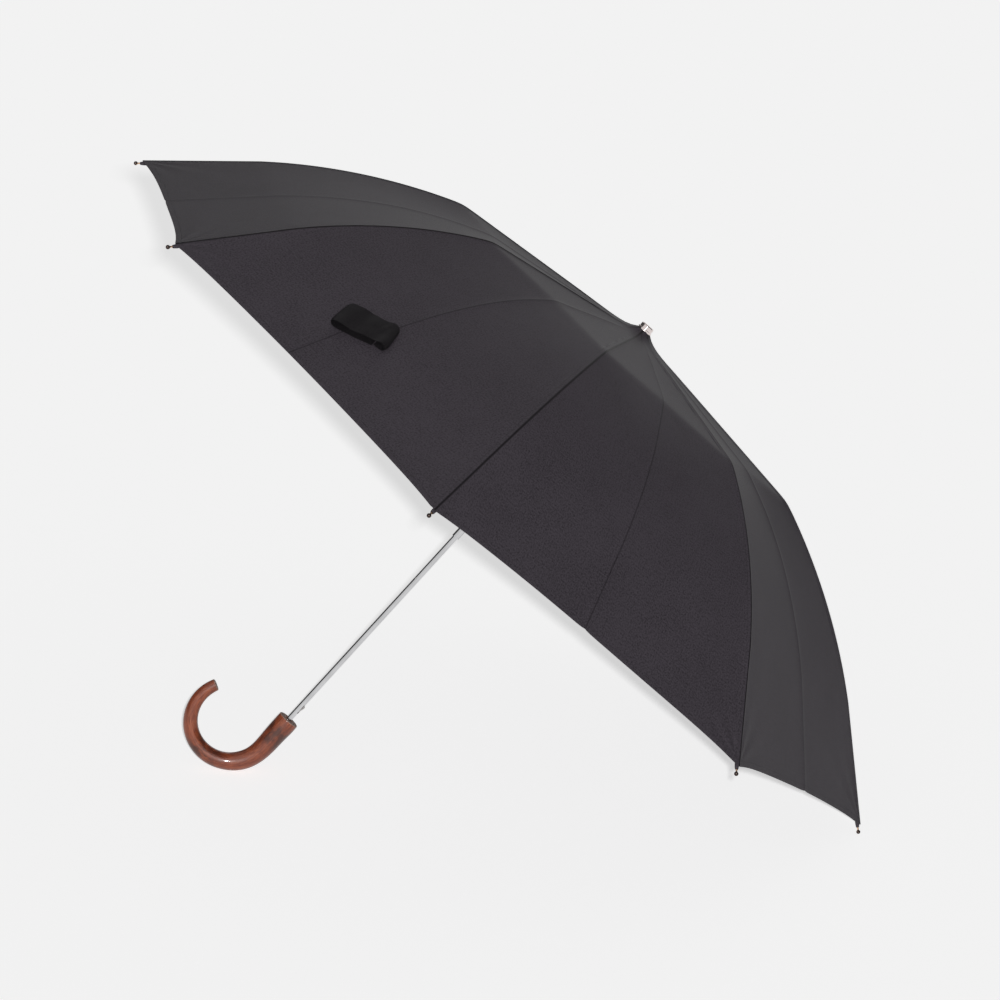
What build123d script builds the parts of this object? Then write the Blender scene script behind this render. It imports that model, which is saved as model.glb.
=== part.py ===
"""Folding umbrella with a wooden crook handle, open and lying on two rib tips and its crook.

Everything is drawn in the shaft's own coordinates: Z runs up the shaft, Z = 0 is the peak of the
canopy, X is radial in the plane of one rib and Y is across that rib. At the end the whole umbrella
is tilted so that it rests on the floor, with the origin under the middle of its bounding box.
"""

import os
from math import acos, cos, degrees, radians, sin

from build123d import *

# ---- driving dimensions, millimetres and degrees ----
RIBS = 8
RIB_STEP = 360 / RIBS
FIRST_RIB = RIB_STEP / 2  # a gap between two ribs faces +X, the side that comes down to the floor
CATCH_SIDE = -RIB_STEP  # the gap that holds the runner's latch and the catch by the handle

SHAFT_TILT = 39.63  # turn about Y that lays the umbrella on its two +X rib tips and its crook

HANDLE_TOP = -544.0
LOWER_TUBE_R = 3.0
LOWER_TUBE_WALL = 0.5
LOWER_TUBE_TOP = -261.0
SOCKET_DEPTH = 45.0
UPPER_TUBE_R = 4.0
UPPER_TUBE_WALL = 0.5
UPPER_TUBE_TOP = -5.0
UPPER_TUBE_END = -285.0
BUSH_LENGTH = 12.0
SLIP = 0.05  # running clearance, per side
FLUTE_WIDTH = 2.4
FLUTE_FLOOR_R = 3.55
FLUTE_RIDGE_R = 3.1

CROWN_PIVOT = (9.5, -10.8)  # r, z of the wire that the ribs hang on
CROWN_R = 12.5
CAP_R = 7.4
CAP_RING_R = 8.3
CAP_RING_Z = 4.8  # foot of the ring that stands on the cloth's gathered peak
CAP_TOP = 11.6
RIB_SLOPE = 6.4
STRETCHER_ALONG = 127.0  # crown pivot to stretcher pivot
STRETCHER_LENGTH = 139.0  # stretcher pivot to runner
ELBOW_ALONG = 217.0
ELBOW_RISE = 6.0  # height of the elbow rivet above the line of the two lower pivots
CHANNEL_MIDDLE = 3.2  # height of the inner rib's channel above that line
CHANNEL_WIDTH = 3.2
CHANNEL_HEIGHT = 2.6
SHEET = 0.45  # thickness of the rolled steel channels
EYE_R = 1.6
RIVET_R = 0.6
TONGUE = 1.0

MIDDLE_START_SLOPE = 21.0
MIDDLE_END_SLOPE = 39.6
MIDDLE_BEND_R = 662.0
MIDDLE_WIDTH = 3.0
MIDDLE_HEIGHT = 2.4
ELBOW_DROP = 2.8  # elbow rivet down to the middle rib's centre line
TAIL_DROP = 2.4  # middle rib's centre line down to the second rivet
OUTER_SLOPE = 40.6
OUTER_LENGTH = 131.6
OUTER_WIRE_R = 1.0
TIP_BALL_R = 2.1

STRETCHER_SLOPE = degrees(acos(STRETCHER_ALONG * cos(radians(RIB_SLOPE)) / STRETCHER_LENGTH))
RUNNER_Z = (
    CROWN_PIVOT[1]
    - STRETCHER_ALONG * sin(radians(RIB_SLOPE))
    - STRETCHER_LENGTH * sin(radians(STRETCHER_SLOPE))
)
RUNNER_SLEEVE_R = 6.0
RUNNER_HEAD_R = 12.5
LINK_SLOT = 3.4
STRETCHER_WIDTH = 2.8
STRETCHER_HEIGHT = 2.4
CRANK = 12.0  # stretcher pivot to control rod pivot
CRANK_LEAN = 15.0  # the crank leans this far down from the stretcher's own line
CRANK_SIDE = (1.75, 2.35)  # the crank plate's two faces, beside the rib
ROD_R = 0.6
ROD_OFFSET = 3.3  # how far beside the rib the control rod runs
ROD_FOOT = (12.0, -3.3)  # where the rod drives the middle rib, from the elbow rivet

CANOPY_RISE = 5.0  # canopy above the ribs' centre line
CANOPY_THICKNESS = 0.5
CANOPY_HOLE_R = 5.2
HEM_R = 503.0
HEM_SLOPE = 41.6  # slope of the cloth over the outer ribs, a little steeper than the wires
HEM_DEPTH = 6.5  # how far each panel's hem curves in between two tips

CROOK_SIDE = 172.0  # direction that the hook opens
CROOK_STRAIGHT = 41.0
CROOK_BEND_R = 43.0
CROOK_SWEEP = 207.0
CROOK_TOP_R = 11.5
CROOK_TIP_R = 6.2
RECESS_R = 4.8

CATCH_PIVOT_Z = HANDLE_TOP + 11.0
CATCH_TOP_Z = HANDLE_TOP + 21.0
SHAFT_PIN_Z = HANDLE_TOP + 200.0

STRAP_SIDE = -135.0
STRAP_LENGTH = 56.0
STRAP_WIDTH = 33.0
STRAP_THICKNESS = 2.0
STRAP_R = 401.0  # distance of its middle from the shaft
STRAP_ACROSS = -20.0  # distance of its middle from the panel's middle line
STRAP_LEAN = 24.0

pieces = {}


def keep(name, part):
    """Files a finished piece under its name, still in the shaft's coordinates."""
    pieces[name] = part


def keep_ring(name, part):
    """Files one copy of a piece for each rib, numbered round the shaft."""
    for i in range(RIBS):
        keep(f"{name}_{i + 1}", part.rotate(Axis.Z, FIRST_RIB + i * RIB_STEP))


def along(start, slope, distance, rise=0.0):
    """The point `distance` down a slope from start, and `rise` square to it, as (r, z)."""
    a = radians(slope)
    return (
        start[0] + distance * cos(a) + rise * sin(a),
        start[1] - distance * sin(a) + rise * cos(a),
    )


def side_plane(start, slope):
    """A drawing plane seen from the side of a rib: x down the slope, y up and out of it."""
    a = radians(slope)
    return Plane(origin=(start[0], 0, start[1]), x_dir=(cos(a), 0, -sin(a)), z_dir=(0, -1, 0))


def plates(plane, eye, eye_r, foot, spans):
    """Adds flat plates that join a round eye to a foot (x0, y0, x1, y1) on a rib's channel.

    spans lists the (from, to) distances of each plate along the plane's normal.
    """
    for low, high in spans:
        with BuildSketch(plane.offset(low)) as outline:
            with BuildLine():
                CenterArc(eye, eye_r, 0, 360)
                Polyline(
                    (foot[0], foot[1]), (foot[2], foot[1]), (foot[2], foot[3]), (foot[0], foot[3]),
                    close=True,
                )
            make_hull()
        extrude(outline.sketch, amount=high - low)


def cross_hole(plane, centre, radius):
    """Cuts a hole across a rib, on a rivet's line."""
    with BuildSketch(plane) as hole:
        with Locations(centre):
            Circle(radius)
    extrude(hole.sketch, amount=4, both=True, mode=Mode.SUBTRACT)


def rivet(plane, centre, half_length):
    """Adds a rivet with a domed head at both ends, a solid of its own."""
    with BuildSketch(plane) as shank:
        with Locations(centre):
            Circle(RIVET_R)
    extrude(shank.sketch, amount=half_length, both=True)
    for side in (-1, 1):
        with BuildSketch(plane.offset(side * half_length)) as head:
            with Locations(centre):
                Circle(RIVET_R + 0.35)
        extrude(head.sketch, amount=side * 0.3)


# The pivots of one rib, as (r, z), open
stretcher_pivot = along(CROWN_PIVOT, RIB_SLOPE, STRETCHER_ALONG)
elbow = along(CROWN_PIVOT, RIB_SLOPE, ELBOW_ALONG, ELBOW_RISE)
middle_start = along(elbow, MIDDLE_START_SLOPE, 0, -ELBOW_DROP)
middle_end = (
    middle_start[0]
    + MIDDLE_BEND_R * (sin(radians(MIDDLE_END_SLOPE)) - sin(radians(MIDDLE_START_SLOPE))),
    middle_start[1]
    - MIDDLE_BEND_R * (cos(radians(MIDDLE_START_SLOPE)) - cos(radians(MIDDLE_END_SLOPE))),
)
tail_joint = along(middle_end, MIDDLE_END_SLOPE, 0, -TAIL_DROP)
bend_centre = along(middle_start, MIDDLE_START_SLOPE, 0, -MIDDLE_BEND_R)
crank_pin = along(stretcher_pivot, CRANK_LEAN - STRETCHER_SLOPE, CRANK)
rib_plane = side_plane(CROWN_PIVOT, RIB_SLOPE)
fork_spans = ((-TONGUE / 2 - 0.9, -TONGUE / 2 - 0.1), (TONGUE / 2 + 0.1, TONGUE / 2 + 0.9))
tongue_span = ((-TONGUE / 2, TONGUE / 2),)


# ---- inner ribs: rolled channels, open underneath, with three riveted tongues ----
channel_top = CHANNEL_MIDDLE + CHANNEL_HEIGHT / 2
channel_low = CHANNEL_MIDDLE - CHANNEL_HEIGHT / 2
channel_from = 9.0
channel_to = ELBOW_ALONG - 4.0
with BuildPart() as inner_rib:
    with BuildSketch(rib_plane):
        with Locations(((channel_from + channel_to) / 2, CHANNEL_MIDDLE)):
            Rectangle(channel_to - channel_from, CHANNEL_HEIGHT)
    extrude(amount=CHANNEL_WIDTH / 2, both=True)
    with BuildSketch(rib_plane):
        with Locations(((channel_from + channel_to) / 2, CHANNEL_MIDDLE - SHEET)):
            Rectangle(channel_to - channel_from, CHANNEL_HEIGHT)
    extrude(amount=CHANNEL_WIDTH / 2 - SHEET, both=True, mode=Mode.SUBTRACT)
    foot_low, foot_high = channel_low + 0.3, channel_top - 0.2
    plates(rib_plane, (0, 0), EYE_R, (channel_from, foot_low, channel_from + 6, foot_high), tongue_span)
    plates(
        rib_plane, (STRETCHER_ALONG, 0), EYE_R,
        (STRETCHER_ALONG - 5, foot_low, STRETCHER_ALONG + 5, foot_high), tongue_span,
    )
    plates(
        rib_plane, (ELBOW_ALONG, ELBOW_RISE), EYE_R,
        (channel_to - 9, foot_low, channel_to - 1, foot_high), tongue_span,
    )
    for hole in ((0, 0), (STRETCHER_ALONG, 0), (ELBOW_ALONG, ELBOW_RISE)):
        cross_hole(rib_plane, hole, RIVET_R + SLIP)
keep_ring("inner_rib", inner_rib.part)


# ---- middle ribs: sprung channels bent to the dome's curve, forked at the elbow ----
def bent_strip(rise, thickness, first, last):
    """A strip that follows the middle rib's bend, between two slopes."""
    top = MIDDLE_BEND_R + rise + thickness / 2
    low = MIDDLE_BEND_R + rise - thickness / 2
    with BuildSketch(side_plane(bend_centre, 0)) as strip:
        with BuildLine():
            upper = CenterArc((0, 0), top, 90 - last, last - first)
            lower = CenterArc((0, 0), low, 90 - last, last - first)
            Line(upper @ 0, lower @ 0)
            Line(upper @ 1, lower @ 1)
        make_face()
    return strip.sketch


elbow_plane = side_plane(elbow, MIDDLE_START_SLOPE)
tail_plane = side_plane(tail_joint, MIDDLE_END_SLOPE)
end_trim = 0.5  # degrees of the bend left out at each end, where the forks and tongues stand
with BuildPart() as middle_rib:
    outside = bent_strip(0, MIDDLE_HEIGHT, MIDDLE_START_SLOPE + end_trim, MIDDLE_END_SLOPE - end_trim)
    extrude(outside, amount=MIDDLE_WIDTH / 2, both=True)
    inside = bent_strip(-SHEET, MIDDLE_HEIGHT, MIDDLE_START_SLOPE, MIDDLE_END_SLOPE)
    extrude(inside, amount=MIDDLE_WIDTH / 2 - SHEET, both=True, mode=Mode.SUBTRACT)
    plates(elbow_plane, (0, 0), EYE_R, (5.5, -3.7, 13, -1.9), fork_spans)
    plates(tail_plane, (0, 0), EYE_R, (-13, 1.5, -5.5, 3.4), tongue_span)
    cross_hole(elbow_plane, (0, 0), RIVET_R)
    cross_hole(tail_plane, (0, 0), RIVET_R + SLIP)
    with BuildSketch(elbow_plane.offset(MIDDLE_WIDTH / 2 - SHEET / 2)):
        with Locations(ROD_FOOT):
            Circle(ROD_R)
    extrude(amount=ROD_OFFSET - ROD_R - 0.1 - (MIDDLE_WIDTH / 2 - SHEET / 2))
with BuildPart() as elbow_rivet:
    rivet(elbow_plane, (0, 0), TONGUE / 2 + 0.9)
keep_ring("middle_rib", Compound([*middle_rib.part.solids(), *elbow_rivet.part.solids()]))


# ---- outer ribs: round wires with a flattened fork, ending in the tips ----
outer_plane = side_plane(tail_joint, OUTER_SLOPE)
wire_from = 6.0
wire_end = OUTER_LENGTH - 9.0
with BuildPart() as outer_rib:
    with BuildSketch(Plane(
        origin=outer_plane.from_local_coords((wire_from, TAIL_DROP, 0)),
        x_dir=(0, 1, 0),
        z_dir=outer_plane.x_dir,
    )):
        Circle(OUTER_WIRE_R)
    extrude(amount=wire_end - wire_from)
    plates(
        outer_plane, (0, 0), EYE_R,
        (wire_from, TAIL_DROP - 0.8, wire_from + 7, TAIL_DROP + 0.8), fork_spans,
    )
    cross_hole(outer_plane, (0, 0), RIVET_R)
with BuildPart() as tail_rivet:
    rivet(outer_plane, (0, 0), TONGUE / 2 + 0.9)
keep_ring("outer_rib", Compound([*outer_rib.part.solids(), *tail_rivet.part.solids()]))


# ---- rib tips: turned brass caps, a socket on the wire, a neck and a ball ----
socket_length = 3.0
neck_length = OUTER_LENGTH - wire_end - socket_length
with BuildPart() as tip:
    tip_origin = outer_plane.from_local_coords((wire_end, TAIL_DROP, 0))
    with BuildSketch(Plane(origin=tip_origin, x_dir=outer_plane.y_dir, z_dir=(0, 1, 0))):
        with BuildLine():
            Polyline(
                (0, 0), (1.4, 0), (1.4, socket_length), (0.85, socket_length + 1),
                (0.85, socket_length + neck_length), (0, socket_length + neck_length), close=True,
            )
        make_face()
    revolve(axis=Axis(tip_origin, outer_plane.x_dir))
    with Locations(outer_plane.from_local_coords((OUTER_LENGTH, TAIL_DROP, 0))):
        Sphere(TIP_BALL_R)
keep_ring("tip", tip.part)


# ---- stretchers: channels open on top, forked round the rib's tongue, with a side crank ----
stretcher_plane = side_plane(stretcher_pivot, -STRETCHER_SLOPE)
crank_eye = (CRANK * cos(radians(CRANK_LEAN)), -CRANK * sin(radians(CRANK_LEAN)))
stretcher_from = 6.0
stretcher_to = STRETCHER_LENGTH - 5.0
with BuildPart() as stretcher:
    with BuildSketch(stretcher_plane):
        with Locations((-(stretcher_from + stretcher_to) / 2, 0)):
            Rectangle(stretcher_to - stretcher_from, STRETCHER_HEIGHT)
    extrude(amount=STRETCHER_WIDTH / 2, both=True)
    with BuildSketch(stretcher_plane):
        with Locations((-(stretcher_from + stretcher_to) / 2, SHEET)):
            Rectangle(stretcher_to - stretcher_from, STRETCHER_HEIGHT)
    extrude(amount=STRETCHER_WIDTH / 2 - SHEET, both=True, mode=Mode.SUBTRACT)
    plates(stretcher_plane, (0, 0), EYE_R, (-stretcher_from - 6, -1.0, -stretcher_from, 1.0), fork_spans)
    plates(
        stretcher_plane, (-STRETCHER_LENGTH, 0), 1.4,
        (-stretcher_to, -1.0, -stretcher_to + 6, 1.0), ((-0.95, 0.95),),
    )
    with BuildSketch(stretcher_plane.offset(TONGUE / 2 + 0.5)):
        Circle(EYE_R)
    extrude(amount=CRANK_SIDE[0] - TONGUE / 2 - 0.5)
    with BuildSketch(stretcher_plane.offset(CRANK_SIDE[0])):
        with BuildLine():
            CenterArc((0, 0), EYE_R, 0, 360)
            CenterArc(crank_eye, EYE_R, 0, 360)
        make_hull()
    extrude(amount=CRANK_SIDE[1] - CRANK_SIDE[0])
    with BuildSketch(stretcher_plane.offset(CRANK_SIDE[1])):
        with Locations(crank_eye):
            Circle(ROD_R)
    extrude(amount=ROD_OFFSET + ROD_R + 0.4 - CRANK_SIDE[1])
    cross_hole(stretcher_plane, (0, 0), RIVET_R)
    cross_hole(stretcher_plane, (-STRETCHER_LENGTH, 0), RIVET_R)
with BuildPart() as pivot_rivet:
    with BuildSketch(stretcher_plane.offset(-TONGUE / 2 - 0.9)):
        Circle(RIVET_R)
    extrude(amount=TONGUE / 2 + 0.9 + CRANK_SIDE[1])
keep_ring("stretcher", Compound([*stretcher.part.solids(), *pivot_rivet.part.solids()]))


# ---- control rods: wires from the stretcher's crank to the middle rib, beside the channels ----
rod_foot = elbow_plane.from_local_coords((*ROD_FOOT, 0))
rod_run = Vector(rod_foot.X - crank_pin[0], 0, rod_foot.Z - crank_pin[1])
rod_plane = Plane(origin=(crank_pin[0], 0, crank_pin[1]), x_dir=rod_run, z_dir=(0, -1, 0))
rod_eye_r = 1.3
with BuildPart() as control_rod:
    with BuildSketch(Plane(
        origin=rod_plane.from_local_coords((rod_eye_r, 0, ROD_OFFSET)),
        x_dir=(0, 1, 0),
        z_dir=rod_run,
    )):
        Circle(ROD_R)
    extrude(amount=rod_run.length - 2 * rod_eye_r)
    for eye_x in (0, rod_run.length):
        with BuildSketch(rod_plane.offset(ROD_OFFSET)):
            with Locations((eye_x, 0)):
                Circle(rod_eye_r)
        extrude(amount=ROD_R, both=True)
        cross_hole(rod_plane, (eye_x, 0), ROD_R + SLIP)
keep_ring("control_rod", control_rod.part)


# ---- crown: notched hub with a stem for the cap, and the wire that the ribs hang on ----
crown_top = -3.8
crown_end = -17.0
stem_r = 3.0
with BuildPart() as crown:
    with BuildSketch(Plane.XZ):
        with BuildLine():
            Polyline(
                (0, crown_top + 11), (stem_r, crown_top + 11), (stem_r, crown_top), (10.5, crown_top),
                (CROWN_R, crown_top - 1.5), (CROWN_R, crown_end + 1), (CROWN_R - 1, crown_end),
                (UPPER_TUBE_R, crown_end), (UPPER_TUBE_R, UPPER_TUBE_TOP), (0, UPPER_TUBE_TOP),
                close=True,
            )
        make_face()
    revolve(axis=Axis.Z)
    with BuildSketch(Plane.XY.offset(crown_end)):
        with PolarLocations(7.6 + 5, RIBS, FIRST_RIB):
            Rectangle(10, TONGUE + 0.6)
    extrude(amount=crown_top - crown_end - 1.8, mode=Mode.SUBTRACT)
    with BuildSketch(Plane.XZ):
        with Locations(CROWN_PIVOT):
            Circle(RIVET_R - 0.1)
    revolve(axis=Axis.Z, mode=Mode.SUBTRACT)
with BuildPart() as crown_wire:
    with BuildSketch(Plane.XZ):
        with Locations(CROWN_PIVOT):
            Circle(RIVET_R - 0.1)
    revolve(axis=Axis.Z)
keep("crown", Compound([*crown.part.solids(), *crown_wire.part.solids()]))


# ---- ferrule cap: turned and plated, pressed on the crown's stem above the cloth ----
cap_foot = -1.5
with BuildPart() as ferrule_cap:
    with BuildSketch(Plane.XZ):
        with BuildLine():
            Polyline(
                (stem_r, cap_foot), (CAP_R, cap_foot), (CAP_R, CAP_RING_Z), (CAP_RING_R, CAP_RING_Z),
                (CAP_RING_R, CAP_RING_Z + 1.2), (CAP_R, CAP_RING_Z + 1.6),
                (CAP_R, CAP_TOP - 1.4), (CAP_R - 0.7, CAP_TOP - 0.6), (CAP_R - 3.4, CAP_TOP - 0.1),
                (0, CAP_TOP),
                (0, crown_top + 11), (stem_r, crown_top + 11), close=True,
            )
        make_face()
    revolve(axis=Axis.Z)
keep("ferrule_cap", ferrule_cap.part)


# ---- upper tube: one flute down its side keeps the runner's latch and the lower tube in line ----
catch_plane = Plane.XY.rotated((0, 0, CATCH_SIDE))
with BuildPart() as upper_tube:
    with BuildSketch(catch_plane.offset(UPPER_TUBE_END)):
        Circle(UPPER_TUBE_R)
        Circle(UPPER_TUBE_R - UPPER_TUBE_WALL, mode=Mode.SUBTRACT)
        with Locations(((FLUTE_RIDGE_R + UPPER_TUBE_R - UPPER_TUBE_WALL) / 2, 0)):
            Rectangle(UPPER_TUBE_R - UPPER_TUBE_WALL - FLUTE_RIDGE_R, FLUTE_WIDTH + 0.9)
        with Locations((FLUTE_FLOOR_R + 1, 0)):
            Rectangle(2, FLUTE_WIDTH, mode=Mode.SUBTRACT)
    extrude(amount=UPPER_TUBE_TOP - UPPER_TUBE_END)
keep("upper_tube", upper_tube.part)


# ---- guide bush in the upper tube's mouth, and slide bush on the lower tube's end ----
def bush(low, inner_r, outer_r):
    """A plastic bush between the two tubes, BUSH_LENGTH long, split where the flute runs."""
    with BuildPart() as ring:
        with BuildSketch(catch_plane.offset(low)):
            Circle(outer_r)
            Circle(inner_r, mode=Mode.SUBTRACT)
            with Locations((FLUTE_RIDGE_R + 1, 0)):
                Rectangle(2.6, FLUTE_WIDTH + 1.1, mode=Mode.SUBTRACT)
        extrude(amount=BUSH_LENGTH)
    return ring.part


keep("guide_bush", bush(UPPER_TUBE_END, LOWER_TUBE_R + SLIP, UPPER_TUBE_R - UPPER_TUBE_WALL))
slide_bush_end = UPPER_TUBE_END + BUSH_LENGTH + 0.1
slide_bush_r = UPPER_TUBE_R - UPPER_TUBE_WALL - SLIP


# ---- lower tube: pressed in the handle, slotted for the catch ----
catch_plane_side = Plane(
    origin=(0, 0, 0),
    x_dir=(cos(radians(CATCH_SIDE)), sin(radians(CATCH_SIDE)), 0),
    z_dir=(sin(radians(CATCH_SIDE)), -cos(radians(CATCH_SIDE)), 0),
)
with BuildPart() as lower_tube:
    with BuildSketch(Plane.XY.offset(HANDLE_TOP - SOCKET_DEPTH)):
        Circle(LOWER_TUBE_R)
        Circle(LOWER_TUBE_R - LOWER_TUBE_WALL, mode=Mode.SUBTRACT)
    extrude(amount=LOWER_TUBE_TOP - HANDLE_TOP + SOCKET_DEPTH)
    with BuildSketch(catch_plane_side):
        with Locations((LOWER_TUBE_R, (CATCH_PIVOT_Z + CATCH_TOP_Z) / 2 + 0.3)):
            Rectangle(4, CATCH_TOP_Z - CATCH_PIVOT_Z + 1.4)
    extrude(amount=0.9, both=True, mode=Mode.SUBTRACT)
    with BuildSketch(catch_plane_side):
        with Locations((0, CATCH_PIVOT_Z)):
            Circle(0.5)
        with Locations((0, SHAFT_PIN_Z)):
            Circle(1.0)
    extrude(amount=LOWER_TUBE_R, both=True, mode=Mode.SUBTRACT)
slide_bush = bush(slide_bush_end, LOWER_TUBE_R, slide_bush_r)
keep("lower_tube", Compound([*lower_tube.part.solids(), *slide_bush.solids()]))


# ---- shaft pins: the catch's cross pin, and the pin that anchors the spring inside the tube ----
with BuildPart() as shaft_pins:
    with BuildSketch(catch_plane_side):
        with Locations((0, CATCH_PIVOT_Z)):
            Circle(0.5)
        with Locations((0, SHAFT_PIN_Z)):
            Circle(1.0)
    extrude(amount=LOWER_TUBE_R - 0.1, both=True)
keep("shaft_pins", shaft_pins.part)


# ---- handle catch: a sprung blade on a cross pin inside the lower tube ----
with BuildPart() as handle_catch:
    with BuildSketch(catch_plane_side):
        with BuildLine():
            Polyline(
                (-1.0, CATCH_PIVOT_Z - 1.0), (0.9, CATCH_PIVOT_Z - 1.0), (2.4, CATCH_PIVOT_Z + 1.6),
                (4.6, CATCH_TOP_Z - 1.5), (4.3, CATCH_TOP_Z), (1.4, CATCH_TOP_Z - 0.4),
                (-1.0, CATCH_PIVOT_Z + 1.4), close=True,
            )
        make_face()
    extrude(amount=0.7, both=True)
    with BuildSketch(catch_plane_side):
        with Locations((0, CATCH_PIVOT_Z)):
            Circle(0.5 + SLIP)
    extrude(amount=2, both=True, mode=Mode.SUBTRACT)
keep("handle_catch", handle_catch.part)


# ---- runner: sleeve with a notched head for the stretchers and ears for the latch ----
sleeve_top = RUNNER_Z + 8
sleeve_end = RUNNER_Z - 14
latch_pin = (7.2, RUNNER_Z - 8.0)
with BuildPart() as runner:
    with BuildSketch(Plane.XZ):
        with BuildLine():
            Polyline(
                (UPPER_TUBE_R + SLIP, sleeve_top), (UPPER_TUBE_R + SLIP, sleeve_end),
                (RUNNER_SLEEVE_R - 0.6, sleeve_end), (RUNNER_SLEEVE_R, sleeve_end + 0.6),
                (RUNNER_SLEEVE_R, RUNNER_Z - 3.2), (RUNNER_HEAD_R - 0.8, RUNNER_Z - 2.6),
                (RUNNER_HEAD_R, RUNNER_Z - 1.8), (RUNNER_HEAD_R, RUNNER_Z + 1.8),
                (RUNNER_HEAD_R - 0.8, RUNNER_Z + 2.6), (RUNNER_SLEEVE_R, RUNNER_Z + 3.2),
                (RUNNER_SLEEVE_R, sleeve_top - 0.6), (RUNNER_SLEEVE_R - 0.6, sleeve_top), close=True,
            )
        make_face()
    revolve(axis=Axis.Z)
    with BuildSketch(Plane.XY.offset(RUNNER_Z - 4)):
        with PolarLocations(7.4 + 5, RIBS, FIRST_RIB):
            Rectangle(10, LINK_SLOT)
    extrude(amount=8, mode=Mode.SUBTRACT)
    for ear_side in (-1, 1):
        with BuildSketch(catch_plane_side.offset(ear_side * 2.9)):
            with Locations((6.8, RUNNER_Z - 6.6)):
                Rectangle(4.2, 7.6)
        extrude(amount=0.5, both=True)
    with BuildSketch(catch_plane_side):
        with Locations((6.6, RUNNER_Z - 8.9)):
            Rectangle(3.2, 11.0)
    extrude(amount=2.3, both=True, mode=Mode.SUBTRACT)
    with BuildSketch(catch_plane_side):
        with Locations((5.0, RUNNER_Z - 5.2)):
            Rectangle(4.0, 2.8)
    extrude(amount=1.1, both=True, mode=Mode.SUBTRACT)
    with BuildSketch(catch_plane_side):
        with Locations(latch_pin):
            Circle(0.5)
    extrude(amount=5, both=True, mode=Mode.SUBTRACT)
with BuildPart() as latch_pivot_pin:
    with BuildSketch(catch_plane_side):
        with Locations(latch_pin):
            Circle(0.5)
    extrude(amount=3.4, both=True)
keep("runner", Compound([*runner.part.solids(), *latch_pivot_pin.part.solids()]))

with BuildPart() as runner_latch:
    with BuildSketch(catch_plane_side):
        with BuildLine():
            Polyline(
                (6.3, RUNNER_Z - 13.4), (7.4, RUNNER_Z - 14.2), (8.6, RUNNER_Z - 13.2),
                (8.4, RUNNER_Z - 8.0), (7.8, RUNNER_Z - 4.3), (3.7, RUNNER_Z - 4.3),
                (3.7, RUNNER_Z - 6.0), (6.0, RUNNER_Z - 6.2), close=True,
            )
        make_face()
    extrude(amount=0.85, both=True)
    with BuildSketch(catch_plane_side):
        with BuildLine():
            Polyline(
                (6.3, RUNNER_Z - 13.4), (7.4, RUNNER_Z - 14.2), (8.6, RUNNER_Z - 13.2),
                (8.4, RUNNER_Z - 8.0), (6.3, RUNNER_Z - 8.0), close=True,
            )
        make_face()
    extrude(amount=2.15, both=True)
    with BuildSketch(catch_plane_side):
        with Locations(latch_pin):
            Circle(0.5 + SLIP)
    extrude(amount=3, both=True, mode=Mode.SUBTRACT)
keep("runner_latch", runner_latch.part)


# ---- handle: a steamed crook that tapers from the socket end to the tip ----
crook_dir = Vector(cos(radians(CROOK_SIDE)), sin(radians(CROOK_SIDE)), 0)


def crook_plane(turn):
    """The plane square to the crook's centre line, `turn` degrees round its bend."""
    a = radians(turn)
    bend_top = Vector(0, 0, HANDLE_TOP - CROOK_STRAIGHT)
    middle = bend_top + crook_dir * (CROOK_BEND_R * (1 - cos(a))) - Vector(0, 0, CROOK_BEND_R * sin(a))
    heading = crook_dir * sin(a) - Vector(0, 0, cos(a))
    return Plane(origin=middle, x_dir=crook_dir.cross(Vector(0, 0, 1)), z_dir=heading)


def crook_radius(turn):
    """The crook thins steadily round its bend."""
    return CROOK_TOP_R - 0.9 - (CROOK_TOP_R - 0.9 - CROOK_TIP_R) * turn / CROOK_SWEEP


with BuildPart() as handle:
    top_across = crook_dir.cross(Vector(0, 0, 1))
    with BuildSketch(Plane(origin=(0, 0, HANDLE_TOP), x_dir=top_across, z_dir=(0, 0, -1))):
        Circle(CROOK_TOP_R)
    with BuildSketch(Plane(origin=(0, 0, HANDLE_TOP - CROOK_STRAIGHT / 2),
                           x_dir=crook_dir.cross(Vector(0, 0, 1)), z_dir=(0, 0, -1))):
        Circle(CROOK_TOP_R - 0.2)
    for step in range(9):
        turn = CROOK_SWEEP * step / 8
        with BuildSketch(crook_plane(turn)):
            Circle(crook_radius(turn))
    loft()
    fillet(handle.faces().filter_by(GeomType.PLANE).edges(), 1.2)
    with BuildSketch(Plane.XY.offset(HANDLE_TOP)):
        Circle(RECESS_R)
    extrude(amount=-2.0, mode=Mode.SUBTRACT)
    with BuildSketch(Plane.XY.offset(HANDLE_TOP)):
        Circle(LOWER_TUBE_R)
    extrude(amount=-SOCKET_DEPTH, mode=Mode.SUBTRACT)
keep("handle", handle.part)


# ---- canopy: eight panels stretched from rib to rib, one closed shell ----
cloth_line = CHANNEL_MIDDLE + CANOPY_RISE


def cloth_profile(rise):
    """Points of the cloth above one rib, from the cap's hole to the hem, at a rise from its middle."""
    knee = along(CROWN_PIVOT, RIB_SLOPE, ELBOW_ALONG, cloth_line + rise)
    peak_x = (CANOPY_HOLE_R - knee[0]) / cos(radians(RIB_SLOPE))
    peak = along(knee, RIB_SLOPE, peak_x)
    bend_r = MIDDLE_BEND_R + CANOPY_RISE + rise
    bend = [
        (bend_centre[0] + bend_r * sin(radians(a)), bend_centre[1] + bend_r * cos(radians(a)))
        for a in (MIDDLE_START_SLOPE, (MIDDLE_START_SLOPE + MIDDLE_END_SLOPE) / 2, MIDDLE_END_SLOPE)
    ]
    hem_z = bend[2][1] - (HEM_R - bend[2][0]) * sin(radians(HEM_SLOPE)) / cos(radians(HEM_SLOPE))
    return peak, knee, bend, (HEM_R, hem_z)


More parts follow.
